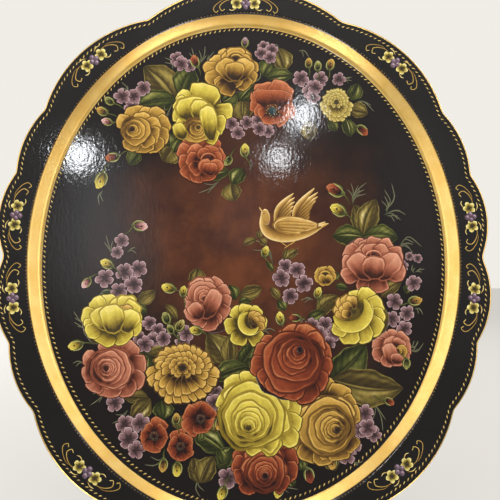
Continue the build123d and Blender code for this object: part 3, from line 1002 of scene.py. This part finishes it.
def lower_flowers():
    """The heavy bunch of roses across the bottom."""
    spray("lilac_left_tall", [(-115, 15), (-119, 4)], 7.0)
    spray("lilac_left", [(-130, -20), (-99, -11), (-112, -14), (-117, -32), (-103, -26)], 9.0)
    spray("lilac_middle", [(38, -9), (49, -12), (34, -20), (55, -25), (42, -36)], 8.8)
    spray("lilac_right_high", [(155, 1), (163, -1), (149, -8)], 5.2)
    spray("lilac_right", [(158, -24), (140, -41), (151, -52), (148, -66), (137, -57)], 8.6)
    spray("lilac_centre", [(62, -63), (74, -62), (83, -70), (69, -71), (78, -79)], 7.6)
    spray("lilac_left_low", [(-88, -61), (-80, -68), (-97, -74), (-84, -76), (-75, -75), (-92, -80)], 7.6)
    spray("lilac_small_left", [(-57, -76), (-54, -70)], 8.0)
    spray("lilac_bottom_left", [(-118, -132), (-108, -151), (-95, -150), (-105, -163), (-98, -173)], 9.2)
    spray("lilac_bottom_middle", [(-27, -123), (-28, -132)], 8.0)
    spray("lilac_bottom", [(-15, -198)], 10.0)
    spray("lilac_bottom_right", [
        (110, -142), (106, -156), (117, -160), (112, -155), (98, -170), (92, -178),
    ], 8.6)
    bloom("peony_salmon_right", SALMON, 0, outer=[
        (116, 2, 102, 14, 16), (118, 3, 114, 17, 16), (120, 3, 126, 18, 17), (122, 2, 139, 13, 16),
        (124, -2, 149, 3, 16), (112, -2, 93, 6, 18), (110, -8, 91, -5, 15), (112, -12, 91, -19, 15),
        (126, -10, 150, -14, 20), (116, -14, 110, -32, 15), (122, -14, 126, -33, 18),
    ], ring=[(120, -2, 106, 8, 16), (120, -2, 118, 12, 16), (120, -2, 134, 8, 16)], eye=(122, 1, 2.4),
        crescents=[
        (121, 0, 7, 5.5, 0, 180, 1.8),
    ], front=[(118, -19, 100, 1, 19), (124, -19, 144, 1, 19), (121, -20, 121, 0, 20)])
    bloom("rose_yellow_right", LEMON, 1, outer=[
        (106, -46, 103, -31, 15), (106, -48, 118, -30, 16), (108, -52, 128, -41, 16),
        (110, -54, 130, -54, 14), (108, -56, 127, -68, 17), (104, -58, 113, -78, 17),
        (96, -58, 97, -80, 18), (92, -58, 85, -72, 14),
    ], heart=[
        (98, -52, 83, -47, 9), (98, -51, 86, -40, 9), (99, -50, 92, -36, 9), (100, -49, 99, -36, 9),
        (98, -53, 84, -54, 8), (99, -52, 88, -47, 7), (99, -51, 93, -42, 7), (99, -53, 90, -52, 7),
    ], eye=(101, -50, 2.6), crescents=[(98, -49, 16.5, 15.5, 200, 400, 11)])
    bloom("rose_ochre_small", OCHRE, 0, outer=[
        (75, -17, 66, -13, 9), (75, -17, 73, -9, 9), (75, -17, 83, -11, 9), (75, -17, 85, -19, 8),
        (75, -18, 80, -25, 9), (75, -18, 69, -25, 9), (75, -18, 65, -20, 8),
    ], eye=(75, -17.5, 1.8), crescents=[(75, -17.5, 4.4, 3.8, -20, 200, 1.4)], front=[
        (76, -24, 70, -17, 6), (76, -24, 80, -17, 6.5),
    ])
    bloom("rose_salmon_small", SALMON, 0, outer=[
        (136, -80, 138, -67, 11), (134, -80, 124, -71, 13), (133, -82, 118, -79, 13),
        (134, -86, 118, -91, 12), (136, -86, 130, -100, 13), (140, -86, 142, -100, 12),
        (140, -80, 150, -72, 13), (142, -84, 154, -84, 12), (141, -88, 151, -94, 10),
    ], ring=[(139, -84, 132, -75, 12), (140, -84, 145, -76, 12)], swirls=[
        (144, -87, 6.5, 5.2, 80, OCHRE),
    ], eye=(141, -86, 1.7), front=[(137, -98, 132, -80, 12), (140, -98, 141, -89, 11)])
    bloom("rose_salmon_middle", SALMON, 0, outer=[
        (-32, -32, -23, -21, 14), (-28, -36, -15, -30, 13), (-28, -40, -13, -42, 13),
        (-30, -44, -16, -54, 14), (-34, -50, -25, -63, 14), (-34, -50, -33, -68, 16),
        (-38, -50, -46, -63, 16), (-40, -46, -54, -56, 14), (-42, -42, -56, -44, 12),
    ], ring=[(-38, -36, -35, -20, 14), (-40, -36, -46, -21, 14), (-42, -37, -54, -32, 12)], swirls=[
        (-39, -35, 13, 12.5, 0, SALMON),
    ], eye=(-37.5, -38.5, 1.9), front=[(-36, -56, -26, -31, 14), (-40, -56, -50, -44, 13)])
    bloom("flower_yellow_small", LEMON, 0, outer=[
        (-2, -58, -11, -47, 13), (0, -56, 2, -44, 14), (4, -56, 14, -48, 12), (-4, -62, -19, -64, 13),
        (-2, -66, -8, -80, 15), (4, -66, 14, -79, 14), (6, -60, 20, -61, 12),
    ], heart=[
        (6, -62, 8, -50, 7), (6, -62, 14, -52, 7), (6, -62, 18, -57, 7), (6, -63, 18, -64, 7),
        (7, -61, 12, -56, 5),
    ], eye=(5, -61, 1.9), crescents=[(5, -60, 8.5, 9, 105, 330, 6.5)])
    bloom("peony_yellow_left", LEMON, 0, outer=[
        (-126, -54, -127, -35, 15), (-130, -54, -139, -38, 14), (-132, -56, -150, -54, 16),
        (-132, -60, -147, -65, 14), (-110, -56, -95, -58, 12), (-110, -60, -97, -69, 14),
        (-118, -64, -109, -78, 19), (-124, -64, -133, -79, 22), (-130, -62, -145, -71, 14),
    ], ring=[(-111, -54, -119, -38, 14), (-111, -54, -109, -36, 15), (-111, -54, -100, -43, 14)],
        heart=[
        (-111, -56, -116, -46, 8), (-111, -56, -107, -45, 9),
    ], eye=(-112.5, -55, 2.2), front=[
        (-122, -67, -139, -49, 15), (-112, -68, -102, -50, 17), (-119, -69, -125, -45, 20),
    ])
    chrysanthemum("chrysanthemum_ochre", OCHRE, (-60, -107), (33, 27), (-57, -101))
    bloom("rose_salmon_left", SALMON, 0, outer=[
        (-122, -92, -130, -77, 14), (-118, -92, -116, -76, 16), (-112, -94, -101, -79, 16),
        (-110, -100, -90, -100, 20), (-112, -106, -92, -114, 16), (-114, -108, -104, -125, 18),
        (-122, -110, -124, -127, 20), (-130, -108, -140, -121, 16), (-134, -104, -148, -108, 14),
        (-134, -96, -147, -90, 14),
    ], ring=[
        (-120, -102, -119, -85, 22), (-118, -104, -106, -94, 19), (-118, -106, -107, -110, 17),
        (-120, -106, -118, -120, 18),
    ], swirls=[(-124, -101, 20, 17, 0, SALMON)], eye=(-127, -101.5, 2.4))
    poppy("poppy_small_left", RED, (-82, -161), 2.2, [
        (-76, -146, 15), (-92, -155, 15), (-94, -164, 12), (-84, -175, 16), (-72, -168, 14),
        (-72, -155, 12),
    ])
    poppy("poppy_small_upper", RED, (-40, -146), 2.2, [
        (-45, -132, 16), (-55, -139, 14), (-54, -157, 17), (-40, -159, 14), (-29, -150, 15),
        (-31, -135, 16),
    ], layer=1)
    poppy("poppy_small_lower", RED, (-58, -170), 2.0, [
        (-62, -156, 14), (-68, -167, 13), (-66, -179, 14), (-52, -181, 15), (-47, -170, 14),
        (-52, -160, 13),
    ])
    bloom("rose_red_bottom", RED, 0, outer=[
        (4, -182, -8, -172, 16), (2, -188, -11, -184, 15), (2, -194, -9, -198, 14),
        (6, -198, 0, -211, 14), (24, -180, 32, -167, 20), (30, -184, 47, -177, 18),
        (30, -190, 47, -194, 18), (26, -198, 38, -206, 16),
    ], ring=[
        (16, -194, 8, -172, 22), (18, -194, 24, -171, 22), (20, -194, 35, -184, 18),
        (14, -194, 0, -184, 16),
    ], swirls=[(18, -193, 17, 18, 0, RED)], eye=(18, -196, 2.4))
    bloom("rose_ochre_big", OCHRE, 1, outer=[
        (72, -130, 71, -110, 20), (82, -134, 90, -117, 20), (88, -138, 101, -130, 16),
        (90, -144, 105, -142, 16), (60, -136, 50, -127, 18), (56, -144, 41, -140, 18),
        (56, -152, 41, -155, 18), (58, -160, 42, -168, 18), (64, -166, 54, -183, 20),
        (72, -168, 70, -187, 18), (84, -168, 86, -183, 18), (92, -164, 101, -173, 14),
    ], ring=[
        (74, -150, 77, -128, 32), (78, -150, 96, -134, 22), (66, -172, 60, -134, 28),
        (76, -172, 66, -176, 16),
    ], swirls=[(76, -155, 26, 24, 0, OCHRE)], eye=(84, -156, 2.6))
    bloom("rose_lemon_big", LEMON, 2, outer=[
        (-4, -124, -14, -109, 18), (4, -122, 7, -104, 20), (14, -120, 24, -107, 20),
        (20, -122, 38, -113, 18), (24, -126, 46, -124, 20), (28, -134, 51, -140, 20),
        (28, -144, 51, -153, 16), (26, -150, 46, -168, 17), (-8, -134, -25, -128, 15),
        (-8, -140, -24, -141, 13), (16, -158, 28, -176, 18), (4, -158, 12, -176, 18),
        (-2, -158, -9, -171, 16),
    ], ring=[
        (6, -150, -9, -117, 28), (8, -150, 10, -115, 34), (10, -152, 31, -121, 30),
        (8, -156, 37, -141, 28), (8, -158, 31, -165, 24),
    ], swirls=[(6, -144, 29, 28, 0, LEMON)], eye=(3, -154, 2.4))
    bloom("rose_red_big", RED, 3, outer=[
        (30, -86, 16, -75, 14), (28, -92, 9, -84, 16), (26, -98, 5, -100, 17), (30, -104, 13, -113, 16),
        (58, -90, 79, -86, 18), (58, -98, 80, -102, 18), (56, -104, 73, -118, 20),
        (52, -106, 58, -132, 22), (44, -108, 40, -129, 24), (36, -108, 24, -123, 20),
    ], ring=[
        (48, -84, 29, -71, 18), (49, -84, 42, -63, 20), (51, -84, 60, -63, 19), (52, -85, 72, -75, 18),
        (52, -90, 72, -92, 18),
    ], swirls=[(44, -96, 27, 26, 0, RED)], eye=(50, -85, 2.4))
    buds("lower_buds", [
        (LEMON, 32, -204, 29, -213, 36, -196), (LEMON, -18, -205, -22, -214, -14, -196),
        (LEMON, -61, -184, -61, -194, -60, -176), (BRICK, 56, -190, 59, -200, 52, -182),
        (OCHRE, -24, -146, -24, -154, -26, -138), (OCHRE, 79, -180, 79, -189, 78, -170),
        (OCHRE, -73, -181, -74, -190, -72, -172), (OCHRE, -62, -151, -62, -143, -60, -160),
    ])


# ---- the bird
def bird():
    """The small golden bird with raised wings, on a sprig between the two parts."""
    p = Painting(start=LAYER_LEAVES + 0.05)
    legs = ([(30, 16), (35, 13), (39, 10)], [(48, 17), (46, 14), (39, 10)], [(44, 12), (41, 11), (37, 8)])
    for leg in legs:
        p.stroke(leg, 0.9, BIRD, tone=(0.5, 0.75), across=0.1, ends=(0.5, 0.5))
    far_wing = ((66, 65), (69, 61), (69, 57), (67, 53), (64, 49), (61, 45), (57, 41))
    near_wing = ((46, 60), (47, 56), (47, 52), (46, 48), (45, 44), (43, 40))
    for root, elbow, tips in (((45, 34), (50, 48), far_wing), ((28, 31), (32, 46), near_wing)):
        for k, tip in reversed(list(enumerate(tips))):
            middle = (elbow[0] + 1.5 * k, elbow[1] - 1.9 * k)
            p.stroke([root, middle, tip], 5.6 - 0.3 * k, BIRD, tone=(0.34, 0.74), across=0.42,
                     ends=(0.5, 0.1))
    for tip in ((76, 33), (79, 31.5), (74, 29)):
        p.stroke([(46, 25), (60, 25), tip], 5.4, BIRD, tone=(0.4, 0.72), across=0.3)
    body = [(20, 42), (17.5, 32), (23, 22.5), (38, 18.8), (56, 21.8), (72, 28)]
    p.stroke(body, 10.5, BIRD, tone=(0.56, 0.46), across=-0.42, ends=(0.72, 0.0), taper=0.5, count=30)
    p.petal((21.4, 30), (18.6, 45), 8.4, BIRD, egg=0.1, rim=0.8, body=(0.6, 0.56), bend=0.06, square=1.0,
            round_rim=True)
    p.petal((27, 30), (68, 29.5), 15, BIRD, egg=-0.35, rim=0.8, body=(0.5, 0.5), square=0.95, skirt=0.07,
            fade=0.3, round_rim=True)
    for k, (x, z) in enumerate(((64, 32), (68, 30), (66, 27.5), (60, 24.5), (52, 22))):
        path = [(30 + k, 33.5 - 2.4 * k), (44 + k, 34 - 3 * k), (x, z)]
        p.stroke(path, 2.5, BIRD, tone=(0.52, 0.66), across=0.2)
    p.arc((45, 29), (17.5, 8.2), 30, 200, 1.1, BIRD, tone=(0.75, 0.9), across=0.1, count=20)
    p.stroke([(17.5, 42), (15, 44.5), (13.5, 47)], 1.5, BIRD, tone=(0.6, 0.75), ends=(1, 0))
    p.dot((17.8, 40.8), 0.55, BROWN, 0.0)
    p.piece("golden_bird")
    grasses("bird_sprig", [(26, -6, 20, 10, 6, 17), (34, -4, 38, 2, 44, 6), (44, -2, 48, 4, 50, 9)])
    leaves("bird_leaves", [
        (14, 17, 12, 25, 6), (14, 17, 20, 11, 7), (11, 17, -2, 11, 6), (38, -2, 50, 7, 7),
        (36, -2, 40, 8, 6),
    ], OLIVE)


# ---- the rim's ornaments
def ornament(name, centre, heading):
    """Two gold flowers, purple florets between them and a pair of scrolls each way, along the rim."""
    p = Painting(FLANGE_FRONT, step=0.001)
    c, s = math.cos(math.radians(heading)), math.sin(math.radians(heading))
    outward = 1 if -s * centre[0] + c * centre[1] > 0 else -1

    def at(u, v):
        """A place along (u) and outward from (v) the ornament's middle."""
        v = v * outward
        return centre[0] + c * u - s * v, centre[1] + s * u + c * v

    scroll = {"across": 0.15, "count": 24}
    strokes = (
        (((6, 1), (13, 4), (20, 2), (25, -3), (23, -7.5), (20, -6)), 0.7,
         {"tone": (0.2, 0.6), "ends": (0.3, 0.9), **scroll}),
        (((12, 3), (20, 4), (28, -1), (31, -6), (28.5, -9.5), (26.5, -7.5)), 0.65,
         {"tone": (0.15, 0.55), "ends": (0.2, 0.9), **scroll}),
        (((9, -5), (13, -7), (16, -6)), 0.9, {"count": 8}),
        (((5, 6), (9, 8), (13, 7.5)), 0.9, {"count": 8}),
    )
    for way in (-1, 1):
        for path, width, options in strokes:
            p.stroke([at(way * u, v) for u, v in path], width, GOLD_PAINT, **options)
        flower = np.array(at(way * 8.5, 0))
        for k in range(5):
            tip = flower + 5.9 * unit(math.radians(heading + 72 * k + 20))
            p.petal(flower, tip, 4.4, PRIMROSE, egg=0.1, body=(-0.1, 0.85), hairs=3, square=1.0, skirt=0.06)
        p.dot(flower, 1.2, BROWN, 0.1)
    for u, v in ((0, 3.4), (-2.6, 0), (2.6, 0), (0, -3.4)):
        middle = np.array(at(u, v))
        p.dot(middle, 2.4, VIOLET, 0.5)
        p.dot(middle + (0.3, 0.5), 1.2, VIOLET, 0.85)
        p.dot(middle, 0.5, VIOLET, 0.05)
    p.piece(name)


def ornaments():
    """Ten ornaments round the rim, each at its middle's x and z and turned by so many degrees."""
    places = {
        "upper_left": (-143.6, 185.2, 42), "upper_right": (143.6, 185.6, -42),
        "lower_left": (-138.8, -188.6, -36), "lower_right": (137.2, -188.4, 38),
        "top": (0, 243, 0), "bottom": (0, -243, 0),
        "right_high": (210.5, 37.5, 97), "right_low": (210.5, -37.5, 83),
        "left_high": (-210.5, 37.5, 83), "left_low": (-210.5, -37.5, 97),
    }
    for where, (x, z, heading) in places.items():
        ornament("ornament_" + where, (x, z), heading)


upper_greens()
upper_flowers()
upper_buds()
middle_greens()
lower_greens()
lower_flowers()
bird()
ornaments()


# ---- studio
def studio():
    """Pale floor and surroundings, broad soft lights, and small ones that the varnish mirrors."""
    low = cad_box[0][2]
    bpy.ops.mesh.primitive_plane_add(size=8, location=(0, 0, low - 0.0005))
    floor = bpy.context.object
    floor.name = "floor"
    m = Nodes("floor")
    tint = m.blend(m.noise(3.0, 2.0), linear("62605c"), linear("666460"))
    m.set(Base_Color=tint, Roughness=0.8, Emission_Color=(0.60, 0.58, 0.54), Emission_Strength=1.0)
    floor.data.materials.append(m.material)
    floor.visible_glossy = False

    world = bpy.data.worlds.new("studio")
    bpy.context.scene.world = world
    world.use_nodes = True
    tree = world.node_tree
    seen = tree.nodes.new("ShaderNodeLightPath").outputs["Is Camera Ray"]
    pick = tree.nodes.new("ShaderNodeMix")
    pick.data_type = "RGBA"
    tree.links.new(seen, pick.inputs[0])
    direction = tree.nodes.new("ShaderNodeSeparateXYZ")
    tree.links.new(tree.nodes.new("ShaderNodeTexCoord").outputs["Generated"], direction.inputs[0])
    below = tree.nodes.new("ShaderNodeMapRange")
    tree.links.new(direction.outputs["Z"], below.inputs["Value"])
    # how steeply down the brighter light begins and is full, and the light above and below
    for index, number in enumerate((-0.55, -0.85, 0.16, 1.3), 1):
        below.inputs[index].default_value = number
    tree.links.new(below.outputs[0], pick.inputs[6])
    pick.inputs[7].default_value = (0.87, 0.85, 0.79, 1)
    tree.links.new(pick.outputs[2], tree.nodes["Background"].inputs["Color"])


def softbox(name, place, aim, size, power, tint=(1, 1, 1), shape="RECTANGLE"):
    """An area light that faces a point and that the camera doesn't see."""
    data = bpy.data.lights.new(name, "AREA")
    data.shape = shape
    data.size, data.size_y = size
    data.energy = power
    data.color = tint
    lamp = bpy.data.objects.new(name, data)
    bpy.context.collection.objects.link(lamp)
    lamp.location = place
    lamp.visible_camera = False
    toward = np.array(aim, float) - np.array(place, float)
    lamp.rotation_euler = Vector(toward).to_track_quat("-Z", "Y").to_euler()


def lights():
    """Broad boxes beyond the mirror angles of the flat bottom, and lamps that show in the varnish."""
    boxes = {       # place and size in metres, and power in watts
        "top_box": ((0.0, -0.85, 1.25), (1.5, 0.7), 19),
        "left_box": ((-1.35, -0.75, 0.15), (0.7, 1.4), 13),
        "right_box": ((1.35, -0.75, 0.15), (0.7, 1.4), 13),
        "low_left_box": ((-0.7, -0.45, -0.95), (0.6, 0.3), 8),
        "low_right_box": ((0.7, -0.45, -0.95), (0.6, 0.3), 5),
        "back_box": ((-0.9, 1.3, 0.5), (0.9, 1.2), 16),
        "back_edge_box": ((1.2, 1.0, 0.9), (0.5, 0.9), 12),
    }
    for name, (place, size, power) in boxes.items():
        softbox(name, place, (0, 0, 0), size, power)
    for name, (x, z), size, radiance in MIRRORED:
        mirrored(name, x, z, size, radiance)


CAMERA_AT = (-0.0189, -0.5, 0.0)
MIRROR_REACH = 2.0      # lamp distance over camera distance, from the bottom
MIRRORED = (            # name, where on the bottom it shows, size in metres, radiance
    ("lamp_upper", (55, 137), (0.06, 0.085), 30),
    ("lamp_lower", (31, 94), (0.055, 0.055), 27),
    ("lamp_left", (-157, 94), (0.07, 0.055), 46),
    ("veil_left", (-135, 15), (0.34, 0.52), 0.26),
    ("veil_left_middle", (-133, 20), (0.24, 0.38), 0.30),
    ("veil_left_heart", (-136, 25), (0.13, 0.24), 0.28),
    ("veil_right", (165, 55), (0.20, 0.50), 0.10),
    ("veil_middle", (-5, 35), (0.16, 0.16), 0.18),
)


def mirrored(name, x, z, size, radiance):
    """A lamp placed so that the camera sees its reflection at the given point of the bottom."""
    hit = np.array([x * MM, BOTTOM_FRONT * MM, z * MM])
    way = hit - np.array(CAMERA_AT)
    way[1] = -way[1]
    place = hit + way * MIRROR_REACH
    power = radiance * size[0] * size[1] * math.pi
    softbox(name, tuple(place), tuple(hit), size, power, (0.93, 0.96, 1.0), "ELLIPSE")


def camera():
    """The photographer's place: half a metre in front, looking slightly up."""
    data = bpy.data.cameras.new("camera")
    data.sensor_width = 36.0
    data.lens = 38.215
    data.shift_x = 0.0266
    data.shift_y = -0.0923
    eye = bpy.data.objects.new("camera", data)
    bpy.context.collection.objects.link(eye)
    yaw, pitch, roll = math.radians(1.258), math.radians(5.697), math.radians(0.133)
    eye.location = CAMERA_AT
    eye.rotation_mode = "XYZ"
    facing = Vector((math.sin(yaw) * math.cos(pitch), math.cos(yaw) * math.cos(pitch), math.sin(pitch)))
    turn = facing.to_track_quat("-Z", "Y").to_matrix() @ Matrix.Rotation(roll, 3, "Z")
    eye.rotation_euler = turn.to_euler()
    bpy.context.scene.camera = eye
    bpy.context.scene.view_settings.view_transform = "Standard"


studio()
lights()
camera()
